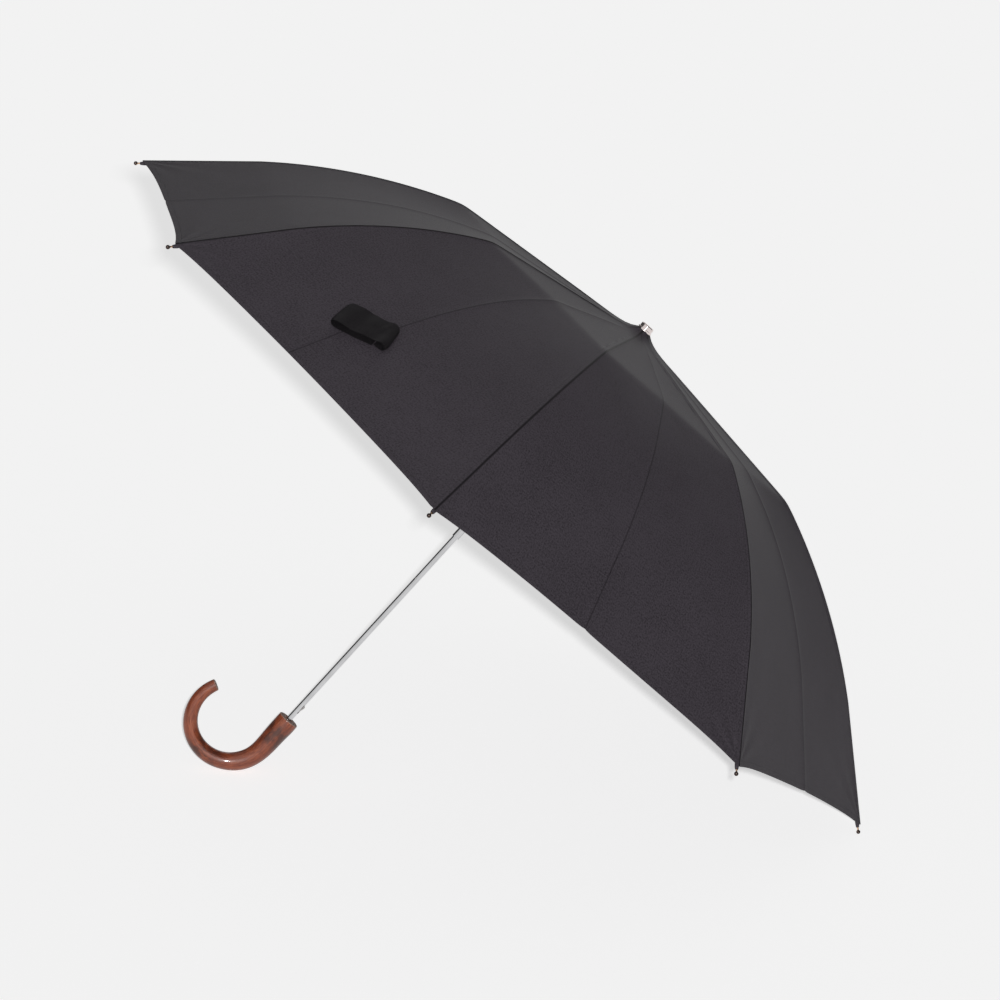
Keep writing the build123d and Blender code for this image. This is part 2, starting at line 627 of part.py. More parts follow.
def cloth_strip(plane):
    """The cloth's cross-section in the plane of one rib."""
    with BuildSketch(plane) as strip:
        with BuildLine():
            rows = []
            for rise in (CANOPY_THICKNESS / 2, -CANOPY_THICKNESS / 2):
                peak, knee, bend, hem = cloth_profile(rise)
                Line(peak, bend[0])
                ThreePointArc(bend[0], bend[1], bend[2])
                Line(bend[2], hem)
                rows.append((peak, hem))
            Line(rows[0][0], rows[1][0])
            Line(rows[0][1], rows[1][1])
        make_face()
    return strip.sketch


def rib_side_plane(angle):
    """The upright plane through the shaft's axis at one angle round it."""
    a = radians(angle)
    return Plane(origin=(0, 0, 0), x_dir=(cos(a), sin(a), 0), z_dir=(sin(a), -cos(a), 0))


hem_corner = cloth_profile(0)[3]
half_gap = radians(RIB_STEP / 2)
hem_chord_r = hem_corner[0] * cos(half_gap)
half_chord = hem_corner[0] * sin(half_gap)
hem_arc_r = (half_chord**2 + HEM_DEPTH**2) / (2 * HEM_DEPTH)
panel_slope = HEM_SLOPE + 2.2
with BuildPart() as panel:
    loft([cloth_strip(rib_side_plane(side * RIB_STEP / 2)) for side in (-1, 1)], ruled=True)
    down = Vector(cos(radians(panel_slope)), 0, -sin(radians(panel_slope)))
    across = Vector(0, 1, 0)
    arc_centre = Vector(hem_chord_r, 0, hem_corner[1]) + down * (hem_arc_r - HEM_DEPTH)
    with BuildSketch(Plane(origin=arc_centre, x_dir=across, z_dir=across.cross(down) * -1)):
        Circle(hem_arc_r)
    extrude(amount=20, both=True, mode=Mode.SUBTRACT)
with BuildPart() as canopy:
    for i in range(RIBS):
        add(panel.part.rotate(Axis.Z, i * RIB_STEP))
keep("canopy", canopy.part)


# ---- closing strap: a folded fabric band sewn to one panel, lying on it ----
strap_out = rib_side_plane(STRAP_SIDE).x_dir
strap_down = strap_out * cos(radians(panel_slope)) - Vector(0, 0, sin(radians(panel_slope)))
strap_up = strap_out * sin(radians(panel_slope)) + Vector(0, 0, cos(radians(panel_slope)))
strap_across = strap_up.cross(strap_down)
cloth_there = Vector(strap_out.X * hem_chord_r, strap_out.Y * hem_chord_r, hem_corner[1]) - strap_down * (
    (hem_chord_r - STRAP_R) / cos(radians(panel_slope))
)
with BuildPart() as closing_strap:
    with BuildSketch(Plane(
        origin=cloth_there + strap_across * STRAP_ACROSS + strap_up * (CANOPY_THICKNESS / 2 + 0.4),
        x_dir=strap_across * cos(radians(STRAP_LEAN)) - strap_down * sin(radians(STRAP_LEAN)),
        z_dir=strap_up,
    )):
        RectangleRounded(STRAP_LENGTH, STRAP_WIDTH, 3)
    extrude(amount=STRAP_THICKNESS)
keep("closing_strap", closing_strap.part)


# ---- laid down on the floor, origin under the middle of the bounding box ----
TILT = Rot(Y=SHAFT_TILT)
laid = {name: TILT * part for name, part in pieces.items()}
box = Compound(list(laid.values())).bounding_box(optimal=True)
REST = Pos(-box.center().X, -box.center().Y, -box.min.Z) * TILT

if __name__ == "__main__":
    os.makedirs("parts", exist_ok=True)
    for name, part in pieces.items():
        placed = REST * part
        placed.label = name
        export_step(placed, f"parts/{name}.step")
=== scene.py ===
import math

import bpy
import numpy as np
from mathutils import Matrix, Vector


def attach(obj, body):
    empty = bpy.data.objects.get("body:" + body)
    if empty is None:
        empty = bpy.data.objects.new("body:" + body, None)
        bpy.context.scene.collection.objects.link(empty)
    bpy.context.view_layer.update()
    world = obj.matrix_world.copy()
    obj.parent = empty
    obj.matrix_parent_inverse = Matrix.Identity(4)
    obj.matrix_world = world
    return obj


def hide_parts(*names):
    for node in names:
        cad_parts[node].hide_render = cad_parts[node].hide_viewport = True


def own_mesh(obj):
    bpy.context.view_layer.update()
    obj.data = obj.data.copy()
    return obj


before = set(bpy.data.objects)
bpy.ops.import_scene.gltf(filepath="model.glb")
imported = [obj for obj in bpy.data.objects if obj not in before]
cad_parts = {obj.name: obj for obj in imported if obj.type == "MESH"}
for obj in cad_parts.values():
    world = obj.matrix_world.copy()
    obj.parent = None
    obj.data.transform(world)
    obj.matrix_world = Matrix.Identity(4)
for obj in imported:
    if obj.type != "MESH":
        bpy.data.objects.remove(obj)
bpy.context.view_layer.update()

# ---- the shaft's own coordinates: Z up the shaft from the canopy's peak, millimetres ----
MM = 0.001
PEAK = Vector((0.143677, 0.0, 0.475826))
TILT = math.radians(39.63)
RIBS = 8
STRAP_GAP = 5  # the panel that the closing band is sewn to
STEP = math.radians(45)
HALF = STEP / 2
MIDDLE = math.cos(HALF)  # how far out a panel's middle lies, as a share of its ribs' radius
TURN = Matrix.Rotation(TILT, 3, "Y")
TURN_NP = np.array(TURN)


def row(points):
    """Shaft coordinates in millimetres to the row frame in metres."""
    p = np.asarray(points, float) / 1000.0
    return p @ TURN_NP.T + np.array(PEAK)


def row_dir(v):
    """A direction in shaft coordinates, turned into the row frame."""
    return TURN @ Vector(v)


def rib_angle(i):
    """Azimuth of rib i, numbered from 1."""
    return HALF + (i - 1) * STEP


# ---------------------------------------------------------------- materials
class Nodes:
    """A short way to write a node tree."""

    def __init__(self, name):
        self.mat = bpy.data.materials.new(name)
        self.mat.use_nodes = True
        self.tree = self.mat.node_tree
        self.tree.nodes.clear()
        self.out = self.tree.nodes.new("ShaderNodeOutputMaterial")
        self.bsdf = self.tree.nodes.new("ShaderNodeBsdfPrincipled")
        self.tree.links.new(self.bsdf.outputs[0], self.out.inputs[0])

    def put(self, socket, value):
        if isinstance(value, bpy.types.NodeSocket):
            self.tree.links.new(value, socket)
        elif isinstance(value, tuple) and len(value) == 3 and socket.type == "RGBA":
            socket.default_value = (*value, 1)
        else:
            socket.default_value = value

    def shade(self, **values):
        for key, value in values.items():
            self.put(self.bsdf.inputs[key.replace("_", " ")], value)

    def add(self, kind, inputs=None, out=0, **settings):
        node = self.tree.nodes.new(kind)
        for key, value in settings.items():
            setattr(node, key, value)
        for key, value in (inputs or {}).items():
            self.put(node.inputs[key], value)
        return node.outputs[out]

    def math(self, operation, a, b=0.0, clamp=False):
        return self.add("ShaderNodeMath", {0: a, 1: b}, operation=operation, use_clamp=clamp)

    def vec(self, operation, a, b=(0.0, 0.0, 0.0), out=0):
        return self.add("ShaderNodeVectorMath", {0: a, 1: b}, out=out, operation=operation)

    def plus(self, a, b):
        return self.math("ADD", a, b)

    def minus(self, a, b):
        return self.math("SUBTRACT", a, b)

    def times(self, a, b):
        return self.math("MULTIPLY", a, b)

    def mix(self, factor, a, b):
        node = self.tree.nodes.new("ShaderNodeMix")
        node.data_type = "RGBA"
        self.put(node.inputs[0], factor)
        self.put(node.inputs[6], a)
        self.put(node.inputs[7], b)
        return node.outputs[2]

    def ramp(self, factor, *stops):
        node = self.tree.nodes.new("ShaderNodeValToRGB")
        self.put(node.inputs[0], factor)
        ends = node.color_ramp.elements
        while len(ends) < len(stops):
            ends.new(0.5)
        for end, (place, colour) in zip(ends, stops):
            end.position = place
            end.color = (*colour, 1)
        return node.outputs[0]

    def noise(self, vector, scale, detail=3.0, rough=0.5, distortion=0.0):
        inputs = {"Vector": vector, "Scale": scale, "Detail": detail}
        inputs.update({"Roughness": rough, "Distortion": distortion})
        return self.add("ShaderNodeTexNoise", inputs)

    def spread(self, value, low, high, to_low=0.0, to_high=1.0):
        """Takes low..high smoothly to to_low..to_high."""
        inputs = {0: value, 1: low, 2: high, 3: to_low, 4: to_high}
        return self.add("ShaderNodeMapRange", inputs, interpolation_type="SMOOTHSTEP")

    def bump(self, height, distance, strength=1.0, normal=None):
        inputs = {"Height": height, "Distance": distance, "Strength": strength}
        if normal is not None:
            inputs["Normal"] = normal
        return self.add("ShaderNodeBump", inputs)

    def place(self):
        """Where the shaded point is, in its object's own coordinates."""
        return self.add("ShaderNodeTexCoord", out=3)

    def attribute(self, name):
        return self.add("ShaderNodeAttribute", out=2, attribute_name=name)

    def join(self, *parts):
        """A vector from its parts."""
        return self.add("ShaderNodeCombineXYZ", dict(enumerate(parts)))


# Marks on the cloth, in metres
THREADS = 2600.0  # of the weave, per metre
STITCHES = 2400.0  # the stitch wave's angle, per metre
STITCH_SHARE = -0.55  # the wave shows thread above this
LINE_HALF = 0.0013  # half width of the painted shade line at a pressed fold or crease
SEAM_HALF = 0.0018
THREAD_HALF = 0.00045
SEAM_STITCH_AT = -0.0042
HEM_STITCH_AT = 0.0052
CLOTH_SPECULAR = 0.10


def cloth_material(name, base, light):
    """Plain-weave polyester: crossed threads, a faint slub, lines at seams and hems, painted shade at
    folds and creases.
    """
    n = Nodes(name)
    uv = n.add("ShaderNodeUVMap", uv_map="weave")
    split = n.tree.nodes.new("ShaderNodeSeparateXYZ")
    n.put(split.inputs[0], uv)
    across, along = split.outputs[0], split.outputs[1]
    warp = n.math("SINE", n.times(across, THREADS * math.pi))
    weft = n.math("SINE", n.times(along, THREADS * math.pi))
    weave = n.times(warp, weft)
    slub_across = n.noise(n.vec("MULTIPLY", uv, (900.0, 60.0, 1.0)), 1.0, 2.0)
    slub_along = n.noise(n.vec("MULTIPLY", uv, (60.0, 900.0, 1.0)), 1.0, 2.0)
    slub = n.plus(slub_across, slub_along)
    speck = n.noise(uv, 640.0, 2.0, 0.7)
    cloud = n.noise(uv, 14.0, 3.0, 0.55)
    tone = n.plus(n.times(speck, 0.66), n.times(cloud, 0.10))
    tone = n.plus(tone, n.times(slub, 0.12))
    colour = n.mix(n.spread(tone, 0.30, 0.60), base, light)

    def stitched(run):
        """1 on the thread of a line of stitches and 0 in the gaps between them."""
        return n.math("GREATER_THAN", n.math("SINE", n.times(run, STITCHES)), STITCH_SHARE)

    def line(mark, at, width):
        """1 on a line `at` metres from the mark, fading to 0 over its width."""
        return n.spread(n.math("ABSOLUTE", n.minus(n.attribute(mark), at)), width, 0.0)

    seam_line = line("seam", 0.0, SEAM_HALF)
    seam_stitch = n.times(line("seam", SEAM_STITCH_AT, THREAD_HALF), stitched(along))
    hem_stitch = n.times(line("hem", HEM_STITCH_AT, THREAD_HALF), stitched(across))
    # Painted shade: dark lines on the storage folds and the knee crease, where the bent cloth is shaded
    fold_shade_line = line("fold", 0.0, LINE_HALF)
    knee_shade_line = line("knee", 0.0, LINE_HALF)
    dark = n.times(seam_line, 0.95)
    weights = ((seam_stitch, 0.45), (hem_stitch, 0.45), (fold_shade_line, 0.50), (knee_shade_line, 0.22))
    for part, weight in weights:
        dark = n.math("MAXIMUM", dark, n.times(part, weight))
    colour = n.mix(dark, colour, tuple(c * 0.2 for c in base))
    fine = n.bump(n.plus(n.times(weave, 0.35), n.times(slub, 0.5)), 0.00006, 0.5)
    pressed_in = n.math("MAXIMUM", n.math("MAXIMUM", seam_stitch, hem_stitch), seam_line)
    n.shade(
        Base_Color=colour,
        Roughness=n.spread(speck, 0.2, 0.8, 0.50, 0.64),
        Specular_IOR_Level=CLOTH_SPECULAR,
        Normal=n.bump(n.times(pressed_in, -1.0), 0.0002, 0.7, fine),
    )
    return n.mat


def metal(name, colour, roughness, grain, dust=0.0):
    """Plated or painted metal with a fine grain and a little handling wear."""
    n = Nodes(name)
    fine = n.noise(n.place(), 900.0, 3.0, 0.6)
    broad = n.noise(n.place(), 60.0, 3.0, 0.5)
    polish = n.spread(fine, 0.3, 0.7, roughness * 0.8, roughness * 1.25)
    n.shade(
        Base_Color=n.mix(n.spread(broad, 0.35, 0.7), colour, tuple(c * 0.90 for c in colour)),
        Metallic=1.0,
        Roughness=n.plus(polish, n.spread(broad, 0.5, 0.8, 0.0, dust)),
        Normal=n.bump(fine, 0.00002, grain),
    )
    return n.mat


def plastic(name, colour, roughness):
    """Moulded nylon with a fine spark-eroded grain."""
    n = Nodes(name)
    grain = n.noise(n.place(), 2600.0, 2.0, 0.6)
    broad = n.noise(n.place(), 90.0, 2.0, 0.5)
    n.shade(
        Base_Color=n.mix(broad, colour, tuple(min(1.0, c * 1.35 + 0.004) for c in colour)),
        Roughness=n.spread(grain, 0.3, 0.7, roughness * 0.9, roughness * 1.1),
        Normal=n.bump(grain, 0.00004, 0.5),
    )
    return n.mat


def enamel(name):
    """Black baked enamel on rolled steel, worn to steel in small patches."""
    n = Nodes(name)
    flow_marks = n.noise(n.place(), 700.0, 3.0, 0.55)
    wear = n.spread(n.noise(n.place(), 260.0, 4.0, 0.7), 0.66, 0.74)
    n.shade(
        Base_Color=n.mix(wear, (0.014, 0.014, 0.015), (0.09, 0.085, 0.08)),
        Metallic=n.times(wear, 0.8),
        Roughness=n.spread(flow_marks, 0.3, 0.7, 0.28, 0.42),
        Normal=n.bump(flow_marks, 0.00003, 0.4),
        Coat_Weight=0.3,
        Coat_Roughness=0.15,
    )
    return n.mat


# The crook, as the CAD has it: a straight neck below its top, then a bend towards its own side
HANDLE_TOP = -544.0
STRAIGHT = 41.0
BEND_R = 43.0
BEND_SWEEP = math.radians(207)
HOOK_SIDE = math.radians(172)

# Its colours: the grain from dark to light, then darker patches, scorched bands, pores and bare ends
GRAIN_DARK = (0.085, 0.016, 0.006)
GRAIN_MIDDLE = (0.165, 0.036, 0.013)
GRAIN_LIGHT = (0.250, 0.068, 0.024)
PATCH_COLOUR = (0.070, 0.014, 0.007)
SCORCH_COLOUR = (0.040, 0.011, 0.006)
PORE_COLOUR = (0.055, 0.016, 0.009)
BARE_DARK = (0.110, 0.060, 0.047)
BARE_LIGHT = (0.260, 0.165, 0.130)

# Where it is scorched, in metres along its middle line from the start of the bend
NECK_SCORCH = (-0.034, -0.006, 0.006)
BEND_SCORCH = (0.050, 0.088, 0.010)
TOP_BARE = 0.0009  # how deep the bare wood reaches in from the neck's face
TIP_BARE = 0.0010
SLOW_GRAIN = 0.09  # the grain is stretched by the inverse of this along the wood
SLOW_PATCH = 0.55


def wood_place(n):
    """Metres along the crook's middle line, out from the bend's centre, and to its side."""
    hook_x, hook_y = math.cos(HOOK_SIDE), math.sin(HOOK_SIDE)
    centre = Vector(row((BEND_R * hook_x, BEND_R * hook_y, HANDLE_TOP - STRAIGHT)))
    to_hook = row_dir((hook_x, hook_y, 0))
    down = row_dir((0, 0, -1))
    offset = n.vec("SUBTRACT", n.place(), tuple(centre))
    hookward = n.vec("DOT_PRODUCT", offset, tuple(to_hook), out=1)
    depth = n.vec("DOT_PRODUCT", offset, tuple(down), out=1)
    side = n.vec("DOT_PRODUCT", offset, tuple(to_hook.cross(down)), out=1)
    shaftward = n.times(hookward, -1.0)
    below = n.math("GREATER_THAN", depth, 0.0)
    past_half = n.math("GREATER_THAN", hookward, 0.0)
    in_bend = n.math("MAXIMUM", below, past_half)
    in_neck = n.minus(1.0, in_bend)
    angle = n.math("ARCTAN2", depth, shaftward)
    turned_over = n.math("LESS_THAN", angle, -0.6)
    angle = n.plus(angle, n.times(turned_over, 2 * math.pi))
    along_bend = n.times(angle, BEND_R * MM)
    out_bend = n.math("SQRT", n.plus(n.times(hookward, hookward), n.times(depth, depth)))
    along = n.plus(n.times(along_bend, in_bend), n.times(depth, in_neck))
    out = n.plus(n.times(out_bend, in_bend), n.times(shaftward, in_neck))
    return along, out, side


def wood_material():
    """Steamed and lacquered chestnut: grain that follows the crook, scorched bands, bare end grain."""
    n = Nodes("crook_wood")
    along, out, side = wood_place(n)
    grain_at = n.join(n.times(along, SLOW_GRAIN), out, side)
    grain = n.noise(grain_at, 1100.0, 4.0, 0.55, 0.25)
    pore_noise = n.noise(n.vec("MULTIPLY", grain_at, (0.55, 1.0, 1.0)), 2600.0, 2.0, 0.5)
    pores = n.spread(pore_noise, 0.60, 0.70)
    patch_at = n.join(n.times(along, SLOW_PATCH), out, side)
    patch = n.spread(n.noise(patch_at, 95.0, 3.0, 0.55, 0.4), 0.40, 0.66)
    colour = n.ramp(grain, (0.28, GRAIN_DARK), (0.52, GRAIN_MIDDLE), (0.74, GRAIN_LIGHT))
    colour = n.mix(n.times(patch, 0.35), colour, PATCH_COLOUR)

    def band(low, high, soft):
        """1 between two places along the crook, fading out over `soft` either way."""
        rise = n.spread(along, low - soft, low + soft)
        fall = n.spread(along, high - soft, high + soft, 1.0, 0.0)
        return n.times(rise, fall)

    uneven = n.spread(n.noise(patch_at, 130.0, 3.0, 0.55, 0.1), 0.36, 0.60)
    scorch = n.times(n.plus(band(*NECK_SCORCH), band(*BEND_SCORCH)), uneven)
    colour = n.mix(n.times(scorch, 0.9), colour, SCORCH_COLOUR)
    colour = n.mix(n.times(pores, 0.5), colour, PORE_COLOUR)
    top_face = n.math("LESS_THAN", along, TOP_BARE - STRAIGHT * MM)
    tip_face = n.math("GREATER_THAN", along, BEND_R * MM * BEND_SWEEP - TIP_BARE)
    bare = n.math("MAXIMUM", top_face, tip_face)
    rings = n.noise(n.join(out, side), 1500.0, 3.0, 0.6)
    colour = n.mix(bare, colour, n.mix(n.spread(rings, 0.35, 0.65), BARE_DARK, BARE_LIGHT))
    n.shade(
        Base_Color=colour,
        Roughness=n.plus(n.spread(grain, 0.3, 0.7, 0.34, 0.46), n.times(bare, 0.3)),
        Specular_IOR_Level=0.3,
        Coat_Weight=n.minus(0.45, n.times(bare, 0.44)),
        Coat_Roughness=0.09,
        Coat_IOR=1.5,
        Normal=n.bump(n.minus(grain, n.times(pores, 0.8)), 0.00012, 0.35),
    )
    return n.mat


BRASS = (0.62, 0.40, 0.25)
BALL_COLOUR = (0.060, 0.045, 0.040)
BALL_FROM = 0.5074  # metres from the shaft's line, where the neck turns into the ball
BALL_TO = 0.5082


def tip_material():
    """Turned brass neck, with the ball at the end darker and duller."""
    n = Nodes("tip_brass")
    here = n.vec("SUBTRACT", n.place(), tuple(PEAK))
    axis = tuple(row_dir((0, 0, 1)))
    up = n.vec("SCALE", axis)
    n.put(up.node.inputs["Scale"], n.vec("DOT_PRODUCT", here, axis, out=1))
    radius = n.vec("LENGTH", n.vec("SUBTRACT", here, up), out=1)
    ball = n.spread(radius, BALL_FROM, BALL_TO)
    fine = n.noise(n.place(), 1500.0, 2.0, 0.6)
    n.shade(
        Base_Color=n.mix(ball, BRASS, BALL_COLOUR),
        Metallic=1.0,
        Roughness=n.plus(n.spread(fine, 0.3, 0.7, 0.16, 0.26), n.times(ball, 0.12)),
        Normal=n.bump(fine, 0.00002, 0.4),
    )
    return n.mat


canopy_cloth = cloth_material("canopy_cloth", (0.0145, 0.0122, 0.0148), (0.0400, 0.0345, 0.0415))
strap_cloth = cloth_material("strap_cloth", (0.0030, 0.0026, 0.0031), (0.0085, 0.0074, 0.0086))
chrome = metal("shaft_chrome", (0.66, 0.66, 0.67), roughness=0.07, grain=0.15, dust=0.04)
cap_metal = metal("cap_plate", (0.78, 0.70, 0.68), roughness=0.09, grain=0.2)
pin_metal = metal("pin_steel", (0.62, 0.61, 0.60), roughness=0.22, grain=0.3)
wire_metal = metal("wire_steel", (0.50, 0.50, 0.51), roughness=0.26, grain=0.4)
catch_metal = metal("catch_steel", (0.42, 0.40, 0.39), roughness=0.22, grain=0.3)
rib_enamel = enamel("rib_enamel")
nylon = plastic("black_nylon", (0.012, 0.012, 0.013), roughness=0.42)
wood = wood_material()
tip_metal = tip_material()

# Each kind of CAD node's finish; the kinds that aren't named are black nylon
FINISH = {
    "inner_rib": rib_enamel,
    "middle_rib": rib_enamel,
    "stretcher": rib_enamel,
    "outer_rib": wire_metal,
    "control_rod": wire_metal,
    "tip": tip_metal,
    "handle": wood,
    "lower_tube": chrome,
    "upper_tube": chrome,
    "shaft_pins": pin_metal,
    "runner_latch": pin_metal,
    "ferrule_cap": cap_metal,
    "handle_catch": catch_metal,
}


def paint(node, material):
    """Gives a CAD node its finish."""
    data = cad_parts[node].data
    data.materials.clear()
    data.materials.append(material)
    for face in data.polygons:
        face.material_index = 0


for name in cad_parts:
    kind = name.rstrip("0123456789").rstrip("_")
    paint(name, FINISH.get(kind, nylon))


# ---------------------------------------------------------------- the canopy's surface
# The line of a rib: straight to the knee, an arc to the tail, then straight to the hem
SLOPE_IN = math.radians(6.4)
KNEE_R = 226.0
KNEE_Z = -26.84
ARC_R = 667.0
ARC_START = math.radians(21.0)
HEM_SLOPE = math.radians(41.6)
PEAK_R = 8.1
TAIL_R = 412.7
HEM_R = 503.0
ARC_X = KNEE_R - ARC_R * math.sin(ARC_START)
ARC_Z = KNEE_Z - ARC_R * math.cos(ARC_START)
TAIL_Z = ARC_Z + math.sqrt(ARC_R**2 - (TAIL_R - ARC_X) ** 2)

# Along the hem, on the ribs' own scale
HEM_IN = 5.0  # how far it curves in at the middle of a panel
CORNER_OUT = 3.0  # how far its corners reach out along the ribs
CORNER_SHARE = 0.15
HEM_RUN = 1.28  # millimetres of cloth per millimetre of radius near the hem

# How far a panel's middle sags below the line between its ribs
SAG_IN = 2.6  # at the knee, on the inner side
SAG_RADII = (150, 226, 300, 412, 503)
SAG_DEPTHS = (8.2, 7.8, 5.6, 4.2, 3.0)

# Each panel's storage fold wanders a little off centre, as a share of the panel's half width
FOLD_OFFSETS = (0.02, -0.03, 0.03, -0.03, -0.045, -0.045, 0.07, 0.03)
FOLD_RISE = 0.9
FOLD_HALF = 4.0
FOLD_HIDDEN_FROM = 424.0  # under and beyond the closing band

TENT_RISE = 6.8  # the cloth gathered up round the cap
TENT_FROM = 7.5
TENT_REACH = 9.5
CREASE_SOFT = 0.9
SEAM_RISE = 0.45
SEAM_WIDE = 4.8
RIB_RISE = 0.5
RIB_HALF = 2.2
PUCKER_RISE = 1.1
PUCKER_REACH = 36.0
PUCKER_RAYS = 11.0
PUCKER_PHASES = (0.4, 1.9, 3.3, 5.2, 0.9, 2.6, 4.4, 5.9)
SLACK = 0.5


def smooth_step(x):
    x = np.clip(x, 0, 1)
    return x * x * (3 - 2 * x)


def rib_line_in(r):
    return KNEE_Z + (KNEE_R - r) * math.tan(SLOPE_IN)


def rib_line_out(r):
    arc = ARC_Z + np.sqrt(np.maximum(ARC_R**2 - (r - ARC_X) ** 2, 1.0))
    line = TAIL_Z - (r - TAIL_R) * math.tan(HEM_SLOPE)
    return np.where(r > TAIL_R, line, arc)


def fold_at(gap, r):
    """Where the storage fold crosses the panel, from -1 at one rib to 1 at the next."""
    return FOLD_OFFSETS[gap - 1] * smooth_step((r - 150) / 120)


def fold_shows(gap, r):
    """1 where the storage fold can be seen; the closing band has pressed it flat below itself."""
    if gap != STRAP_GAP:
        return 1.0
    return 1 - smooth_step((r - FOLD_HIDDEN_FROM) / 14)


def sag_in(r):
    return SAG_IN * smooth_step(r / KNEE_R)


def sag_out(r):
    return np.interp(r, SAG_RADII, SAG_DEPTHS)


def knee_at(s):
    """The rib-scale radius of the crease that runs from elbow to elbow, found by small steps."""
    taut = 1 - s * s
    steepening = 0.27  # how fast the two slopes part there
    r = np.full_like(np.asarray(s, float), KNEE_R)
    for _ in range(30):
        apart = rib_line_in(r) - sag_in(r) * taut - rib_line_out(r) + sag_out(r) * taut
        r = r - apart / steepening * 0.8
    return r


def hem_radius(s):
    corner = CORNER_OUT * np.exp(-(1 - np.abs(s)) / CORNER_SHARE)
    return HEM_R + corner - HEM_IN * (1 - s * s)


def puckers(gap, r, to_low, to_high):
    """Ripples that fan out from the hem's corners, and die away before the hem itself."""
    back = (HEM_R - r) * HEM_RUN
    total = 0.0
    corners = ((gap, to_low, 0.0), (gap % RIBS + 1, to_high, 1.3))
    for rib, away, shift in corners:
        turn = np.arctan2(np.maximum(away, 0), np.maximum(back, 0.01) + 2)
        fade = smooth_step((back - 1) / 16) * smooth_step(away / 7)
        near = np.exp(-np.hypot(back, away) / PUCKER_REACH) * fade
        total = total + PUCKER_RISE * near * np.sin(turn * PUCKER_RAYS + PUCKER_PHASES[rib - 1] + shift)
    return total


def cloth_height(gap, x, y):
    """Height of the cloth in a panel; x runs out along its middle, y across to rib gap + 1."""
    r = x / MIDDLE
    half = np.maximum(x * math.tan(HALF), 1e-6)
    s = np.clip(y / half, -1.15, 1.15)
    taut = 1 - np.minimum(s * s, 1)
    tent = TENT_RISE * np.exp(-(np.hypot(x, y) - TENT_FROM) / TENT_REACH)
    inner = rib_line_in(r) + tent - sag_in(r) * taut
    outer = rib_line_out(r) - sag_out(r) * taut
    # the lower of the two surfaces, blended where they meet at the crease
    z = -CREASE_SOFT * np.logaddexp(-inner / CREASE_SOFT, -outer / CREASE_SOFT)
    # storage fold: a low sharp ridge
    fold_y = fold_at(gap, r) * half
    sharp = smooth_step((r - 18) / 60) * fold_shows(gap, r)
    z = z + FOLD_RISE * sharp * np.exp(-np.abs(y - fold_y) / FOLD_HALF)
    # rib seam: the allowance is pressed to one side and topstitched
    to_low = (s + 1) * half * MIDDLE
    to_high = (1 - s) * half * MIDDLE
    width = smooth_step(half / 30)
    z = z + SEAM_RISE * width * (1 - smooth_step(to_high - SEAM_WIDE))
    # the cloth rides up a little over the ribs
    over_ribs = np.exp(-((to_low / RIB_HALF) ** 2)) + np.exp(-((to_high / RIB_HALF) ** 2))
    z = z + RIB_RISE * width * over_ribs
    z = z + puckers(gap, r, to_low, to_high)
    # slack in the cloth
    return z + SLACK * taut * np.sin(x / 61 + gap * 1.7) * np.sin(y / 47 + gap)


def panel_point(gap, r, s):
    """A point of the cloth and its normal, in shaft coordinates."""
    x = r * MIDDLE
    y = s * r * math.sin(HALF)
    step = 0.7
    z = cloth_height(gap, x, y)
    dx = (cloth_height(gap, x + step, y) - cloth_height(gap, x - step, y)) / (2 * step)
    low = np.maximum(y - step, -r * math.sin(HALF))
    high = np.minimum(y + step, r * math.sin(HALF))
    dy = (cloth_height(gap, x, high) - cloth_height(gap, x, low)) / (high - low)
    normal = np.stack([-dx, -dy, np.ones_like(x)], -1)
    normal /= np.linalg.norm(normal, axis=-1, keepdims=True)
    a = rib_angle(gap) + HALF
    axes = np.array([(math.cos(a), math.sin(a), 0), (-math.sin(a), math.cos(a), 0), (0, 0, 1)])
    return np.stack([x, y, z], -1) @ axes, normal @ axes


def lanes(count):
    """Column places from a rib (0) to the fold (1), close together at both."""
    t = np.linspace(0, 1, count)
    return t - 0.13 * np.sin(2 * math.pi * t)


LANES = lanes(26)


def mesh_object(name, points, faces, normals=None, uv=None, values=None):
    mesh = bpy.data.meshes.new(name)
    mesh.from_pydata([tuple(p) for p in points], [], [tuple(int(i) for i in f) for f in faces])
    mesh.update()
    for face in mesh.polygons:
        face.use_smooth = True
    loop_vertex = np.zeros(len(mesh.loops), int)
    mesh.loops.foreach_get("vertex_index", loop_vertex)
    if uv is not None:
        layer = mesh.uv_layers.new(name="weave")
        layer.data.foreach_set("uv", np.asarray(uv, float)[loop_vertex].ravel())
    for key, value in (values or {}).items():
        attribute = mesh.attributes.new(key, "FLOAT", "POINT")
        attribute.data.foreach_set("value", np.asarray(value, np.float32))
    if normals is not None:
        mesh.normals_split_custom_set_from_vertices([tuple(v) for v in normals])
    made = bpy.data.objects.new(name, mesh)
    bpy.context.scene.collection.objects.link(made)
    return made


def grid_faces(rows, columns):
    """The quads of a grid of points, row by row."""
    index = np.arange(rows * columns).reshape(rows, columns)
    corners = [index[:-1, :-1], index[1:, :-1], index[1:, 1:], index[:-1, 1:]]
    return np.stack(corners, -1).reshape(-1, 4)


def meet(pair):
    """Two halves of a strip as one; they share the column where they meet."""
    return np.concatenate([pair[0], pair[1][:, 1:]], 1)


def longer(grid, *rows):
    """A grid with more rows below it."""
    return np.concatenate([grid, *(r[None] for r in rows)], 0)


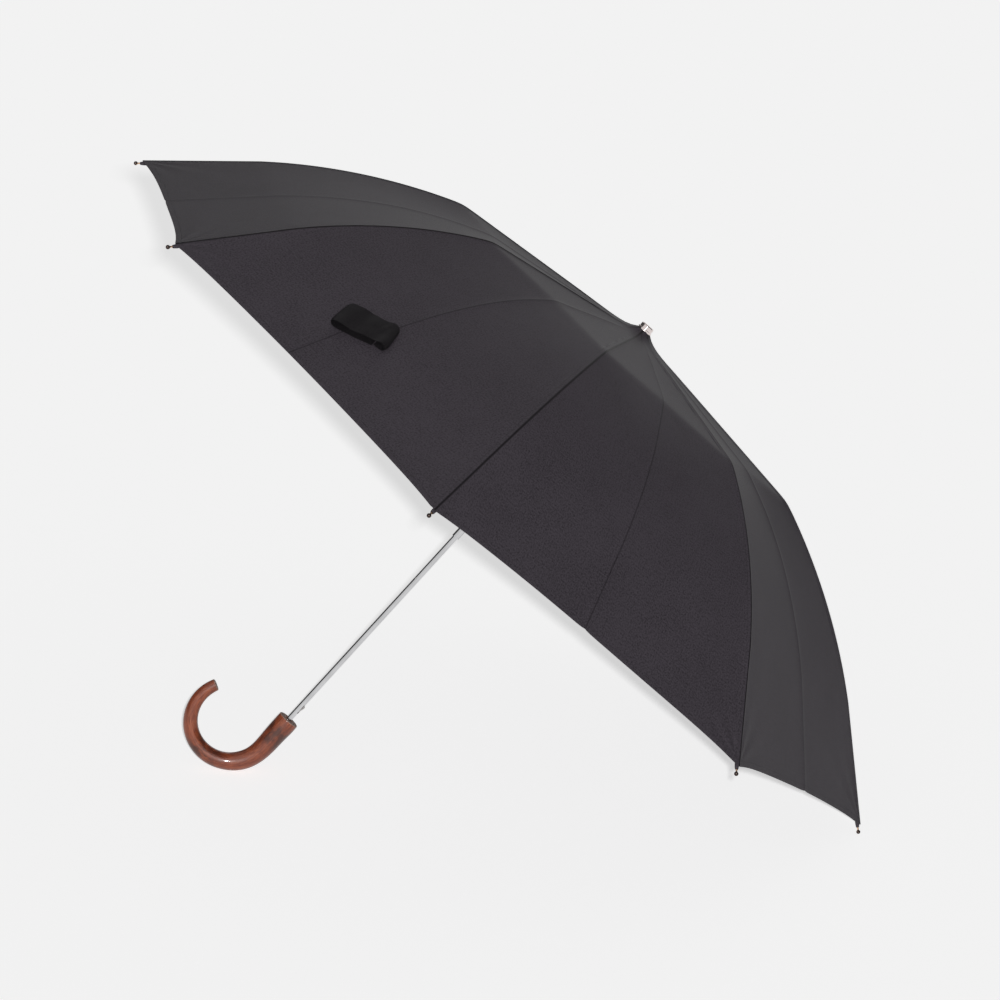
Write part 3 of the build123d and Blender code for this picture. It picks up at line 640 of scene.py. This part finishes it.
def gore_piece(name, rib, rows, roll=False):
    """A strip of cloth centred on one rib, from fold to fold.

    rows(s) gives the rib-scale radii of its rows, from the top down, for the columns at s.
    """
    low_gap = (rib - 2) % RIBS + 1
    points, normals, uvs = [], [], []
    marks = {"seam": [], "fold": [], "hem": [], "knee": []}
    halves = ((low_gap, 1, LANES[::-1]), (rib, -1, LANES))
    for gap, edge, t in halves:
        s0 = edge * (1 - t)
        r0 = rows(s0)
        s = edge * (1 - t)[None, :] + fold_at(gap, r0) * t[None, :]
        # the columns lean with the fold, so the rows are worked out again for where they fall
        r = np.stack([rows(s[k])[k] for k in range(r0.shape[0])])
        point, normal = panel_point(gap, r, s)
        points.append(point)
        normals.append(normal)
        half = r * math.sin(HALF)
        y = s * half
        down = r * MIDDLE / math.cos(math.radians(25))
        uvs.append(np.stack([y / 1000 + gap, down / 1000], -1))
        away = (half - np.abs(y)) * MIDDLE
        marks["seam"].append(np.where(edge > 0, -away, away + 0.02) / 1000)
        # no painted shade line on the fold under the band or close to the cap, where the mark is moved
        # off the cloth
        hidden = 0.02 * (1 - fold_shows(gap, r)) + np.where(r < 40, 0.004, 0)
        marks["fold"].append((y - fold_at(gap, r) * half) / 1000 + hidden)
        marks["hem"].append((hem_radius(s) - r) * HEM_RUN / 1000)
        marks["knee"].append((r - knee_at(s)) / 1000)
    point = meet(points)
    normal = meet(normals)
    uv = meet(uvs)
    marks = {key: meet(pair) for key, pair in marks.items()}
    both = normals[0][:, -1] + normals[1][:, 0]
    normal[:, len(LANES) - 1] = both / np.linalg.norm(both, axis=-1, keepdims=True)
    if roll:
        # the hem is turned under and stitched
        edge_point = point[-1]
        out_face = normal[-1]
        inward = point[-2] - edge_point
        inward /= np.linalg.norm(inward, axis=-1, keepdims=True)
        turn = edge_point - out_face * 0.45 - inward * 0.25
        under = edge_point - out_face * 0.9 + inward * 0.3
        sewn = edge_point - out_face * 0.7 + inward * 5.0
        point = longer(point, turn, under, sewn)
        normal = longer(normal, -inward, -out_face, -out_face)
        uv = longer(uv, *(uv[-1] + 0.0005 * k for k in (1, 2, 3)))
        marks = {key: longer(grid, *[grid[-1]] * 3) for key, grid in marks.items()}
    faces = grid_faces(*point.shape[:2])
    world = row(point.reshape(-1, 3))
    facing = normal.reshape(-1, 3) @ TURN_NP.T
    values = {key: grid.ravel() for key, grid in marks.items()}
    made = mesh_object(name, world, faces, facing, uv.reshape(-1, 2), values)
    made.data.materials.append(canopy_cloth)
    quads = world[faces]
    crossed = np.cross(quads[:, 2] - quads[:, 0], quads[:, 3] - quads[:, 1])
    return made, float(0.5 * np.linalg.norm(crossed, axis=1).sum()), point


def even(count):
    return np.linspace(0, 1, count)[:, None]


def inner_rows(s):
    t = 1 - (1 - even(44)) ** 1.25
    return PEAK_R + (knee_at(s)[None, :] - PEAK_R) * t


def middle_rows(s):
    knee = knee_at(s)[None, :]
    return knee + (TAIL_R - knee) * even(46) ** 1.2


def outer_rows(s):
    t = 1 - (1 - even(34)) ** 1.5
    return TAIL_R + (hem_radius(s)[None, :] - TAIL_R) * t


SECTIONS = (
    ("inner", inner_rows, "inner_rib_{}", "inner_rib_{}_swing", False),
    ("middle", middle_rows, "middle_rib_{}", "middle_rib_{}_fold", False),
    ("outer", outer_rows, "outer_rib_{}", "outer_rib_{}_fold", True),
)
for rib in range(1, RIBS + 1):
    for part, rows, body, joint, roll in SECTIONS:
        piece, area, grid = gore_piece(f"canopy_{part}_{rib}", rib, rows, roll)
        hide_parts("canopy")
        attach(piece, body.format(rib))
        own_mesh(piece)


# ---------------------------------------------------------------- closing strap and tip pockets
def flow(points, count):
    """A smooth line through the points (Catmull-Rom)."""
    p = np.asarray(points, float)
    p = np.concatenate([2 * p[:1] - p[1:2], p, 2 * p[-1:] - p[-2:-1]])
    made = []
    for place in np.linspace(0, len(p) - 3 - 1e-9, count):
        k = int(place)
        t = place - k
        a, b, c, d = p[k:k + 4]
        square = 2 * a - 5 * b + 4 * c - d
        cube = 3 * b - a - 3 * c + d
        made.append(0.5 * (2 * b + (c - a) * t + square * t**2 + cube * t**3))
    return np.array(made)


def grid_object(name, point, material, uv):
    """A sheet from a grid of points in shaft coordinates, with none of the canopy's marks on it."""
    rows, columns = point.shape[:2]
    far = np.full(rows * columns, 1.0)
    values = {"seam": far, "fold": far, "hem": far, "knee": far}
    faces = grid_faces(rows, columns)
    made = mesh_object(name, row(point.reshape(-1, 3)), faces, None, uv.reshape(-1, 2), values)
    made.data.materials.append(material)
    return made


STRAP_AT = (398.0, -20.5)  # out along its panel's middle, and across
STRAP_LONG = (-0.39, 0.92)
STRAP_SHORT = (0.92, 0.39)
STRAP_WIDE = 33.5
STRAP_SLOPE = math.radians(40)  # of the cloth that it lies on
# its section, along and up: it starts under the right end, turns back at the left end, and curls
# over at the right
STRAP_UNDER = [(15, 0.9), (0, 0.8), (-18, 0.9), (-25.5, 1.6)]
STRAP_LEFT = [(-28.6, 4.8), (-26, 8.0)]
STRAP_OVER = [(-17, 8.8), (-5, 7.6), (6, 8.2), (16, 7.8), (23, 8.8)]
STRAP_RIGHT = [(28, 7.0), (29.6, 3.4), (27, 1.6), (21, 2.1), (17, 3.6)]


def strap_surface():
    """The closing band's points and weave places as grids, and its length in millimetres."""
    path = flow(STRAP_UNDER + STRAP_LEFT + STRAP_OVER + STRAP_RIGHT, 110)
    run = np.concatenate([[0], np.cumsum(np.hypot(*np.diff(path, axis=0).T))])[:, None]
    edge = np.linspace(-1, 1, 41)[None, :]
    along, lift = path[:, :1], path[:, 1:]
    # slack in the upper layer: ripples towards the edges, a long wave, and a dent near the right
    upper = smooth_step((lift - 3.5) / 3)
    ripple = 0.3 * np.sin(along / 3.6 + 1.8 * edge) * (0.3 + 0.7 * np.abs(edge))
    wave = 0.4 * np.sin(along / 9 - 2.0 * edge + 1)
    dent = 0.5 * np.exp(-(((edge - 0.15) * 2.6) ** 2)) * np.exp(-(((along - 12) / 9) ** 2))
    lift = lift * (0.80 + 0.26 * (edge + 1) / 2) + upper * (ripple + wave - dent)
    # the ends are rounded at the edges and a little askew, and the band pinches in near the right
    along = along * (1 - 0.07 * np.abs(edge) ** 5) + 1.2 * edge * np.tanh(along / 7)
    pinch = 1 - 0.05 * np.exp(-(((path[:, :1] - 12) / 8) ** 2))
    short = edge * STRAP_WIDE / 2 * pinch
    outwards = STRAP_LONG[0] * along + STRAP_SHORT[0] * short
    x = STRAP_AT[0] + outwards * math.cos(STRAP_SLOPE)
    y = STRAP_AT[1] + STRAP_LONG[1] * along + STRAP_SHORT[1] * short
    ground, facing = panel_point(STRAP_GAP, x / MIDDLE, y / (x * math.tan(HALF)))
    uv = np.stack([run / 1000 + 0 * edge, short / 1000 + 0.2], -1)
    return ground + facing * lift[..., None], uv, float(run[-1, 0])


strap_points, strap_uv, strap_length = strap_surface()
strap = grid_object("closing_band", strap_points, strap_cloth, strap_uv)
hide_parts("closing_strap")
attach(strap, f"outer_rib_{STRAP_GAP}")
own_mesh(strap)

# A pocket's section, as rib-scale radius and its own radius
POCKET = [(496.5, 1.6), (499.5, 1.95), (502.5, 2.0), (504.5, 1.8), (505.7, 1.5), (505.9, 1.2)]
POCKET_LEAN = math.radians(41.0)
POCKET_DROP = 5.2  # how far its line runs below the rib's line
POCKET_BROAD = 1.15  # it is this much broader than it is high


def pocket_surface(rib):
    """A tip pocket's points and weave places as grids."""
    angle = rib_angle(rib)
    out = np.array([math.cos(angle), math.sin(angle), 0])
    side = np.array([-math.sin(angle), math.cos(angle), 0])
    up = np.array([0, 0, 1.0])
    down_rib = out * math.cos(POCKET_LEAN) - up * math.sin(POCKET_LEAN)
    up_rib = out * math.sin(POCKET_LEAN) + up * math.cos(POCKET_LEAN)
    start = out * TAIL_R + up * (TAIL_Z - POCKET_DROP)
    turns = np.linspace(0, 2 * math.pi, 25)
    grid, uv = [], []
    for r, radius in flow(POCKET, 16):
        middle = start + down_rib * (r - TAIL_R) / math.cos(POCKET_LEAN)
        ring = [side * math.cos(t) * POCKET_BROAD + up_rib * math.sin(t) for t in turns]
        grid.append([middle + radius * spoke for spoke in ring])
        uv.append([(2.3 * t / 1000, r / 1000) for t in turns])
    return np.array(grid), np.array(uv)


for rib in range(1, RIBS + 1):
    pocket_points, pocket_uv = pocket_surface(rib)
    pocket = grid_object(f"tip_pocket_{rib}", pocket_points, canopy_cloth, pocket_uv)
    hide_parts("canopy")
    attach(pocket, f"outer_rib_{rib}")


# ---------------------------------------------------------------- floor, light, camera
STAND = Vector(row((-1141.7, -3294.0, 135.6)))  # where the camera stands
LOOK_RIGHT = row_dir((0.7195, -0.1777, 0.6713)).normalized()
LOOK_UP = row_dir((-0.6121, 0.2942, 0.7340))
LOOK_BACK = LOOK_RIGHT.cross(LOOK_UP).normalized()
LOOK_UP = LOOK_BACK.cross(LOOK_RIGHT)
LENS = 122.1
LAMP = STAND + LOOK_RIGHT * 0.038 + LOOK_UP * 0.022
LAMP_POWER = 34.0
LAMP_RADIUS = 0.022
WORLD_LIGHT = 0.07
FLOOR_TONE = 0.80
FLOOR_EVEN = 0.832  # what the lamp and the table's own light add up to, everywhere
FLOOR_SIDE = 30.0
FLOOR_BACK = 60.0


def floor_material():
    """A pale floor with a light of its own, which evens out the lamp beside the camera."""
    n = Nodes("pale_floor")
    reach = n.vec("DISTANCE", n.place(), tuple(LAMP), out=1)
    lamp_at_foot = FLOOR_TONE * LAMP_POWER / (4 * math.pi**2) * LAMP.z
    own_light = n.math("SUBTRACT", FLOOR_EVEN, n.math("DIVIDE", lamp_at_foot, reach), clamp=True)
    n.shade(
        Base_Color=(FLOOR_TONE, FLOOR_TONE, FLOOR_TONE),
        Roughness=0.95,
        Specular_IOR_Level=0.0,
        Emission_Color=(1.0, 1.0, 1.0),
        Emission_Strength=own_light,
    )
    return n.mat


scene = bpy.context.scene
floor_corners = [(-FLOOR_SIDE, -FLOOR_SIDE, 0), (FLOOR_SIDE, -FLOOR_SIDE, 0)]
floor_corners += [(FLOOR_SIDE, FLOOR_BACK, 0), (-FLOOR_SIDE, FLOOR_BACK, 0)]
floor_mesh = bpy.data.meshes.new("floor")
floor_mesh.from_pydata(floor_corners, [], [(0, 1, 2, 3)])
floor = bpy.data.objects.new("floor", floor_mesh)
scene.collection.objects.link(floor)
floor.data.materials.append(floor_material())

world = bpy.data.worlds.new("studio")
world.use_nodes = True
world.node_tree.nodes["Background"].inputs[0].default_value = (1, 1, 1, 1)
world.node_tree.nodes["Background"].inputs[1].default_value = WORLD_LIGHT
scene.world = world
off_floor = bpy.data.collections.new("all_but_the_floor")
off_floor.objects.link(floor)
off_floor.collection_objects[0].light_linking.link_state = "EXCLUDE"


def sun(name, towards, strength, spread):
    """A distant soft light that lights the umbrella and leaves the floor even."""
    light = bpy.data.lights.new(name, "SUN")
    light.energy = strength
    light.angle = math.radians(spread)
    made = bpy.data.objects.new(name, light)
    made.rotation_euler = Vector(towards).to_track_quat("Z", "Y").to_euler()
    scene.collection.objects.link(made)
    made.light_linking.receiver_collection = off_floor


sun("fill", (-0.30, -0.80, 0.42), strength=1.35, spread=100)
sun("overhead", (-0.10, 0.15, 0.93), strength=0.45, spread=80)
sun("behind", (0.40, 0.80, 0.36), strength=0.58, spread=50)

# The lamp beside the camera throws the umbrella's shadow; its light doesn't fade with distance
lamp = bpy.data.lights.new("lamp", "POINT")
lamp.energy = LAMP_POWER
lamp.shadow_soft_size = LAMP_RADIUS
lamp.use_nodes = True
lamp_nodes = lamp.node_tree.nodes
fall = lamp_nodes.new("ShaderNodeLightFalloff")
fall.inputs["Strength"].default_value = 1.0
lamp.node_tree.links.new(fall.outputs["Constant"], lamp_nodes["Emission"].inputs["Strength"])
lamp_object = bpy.data.objects.new("lamp", lamp)
lamp_object.location = LAMP
scene.collection.objects.link(lamp_object)

scene.view_settings.view_transform = "Standard"
camera_data = bpy.data.cameras.new("camera")
camera_data.sensor_width = 36
camera_data.lens = LENS
camera = bpy.data.objects.new("camera", camera_data)
camera_turn = Matrix((LOOK_RIGHT, LOOK_UP, LOOK_BACK)).transposed().to_4x4()
camera.matrix_world = Matrix.Translation(STAND) @ camera_turn
scene.collection.objects.link(camera)
scene.camera = camera
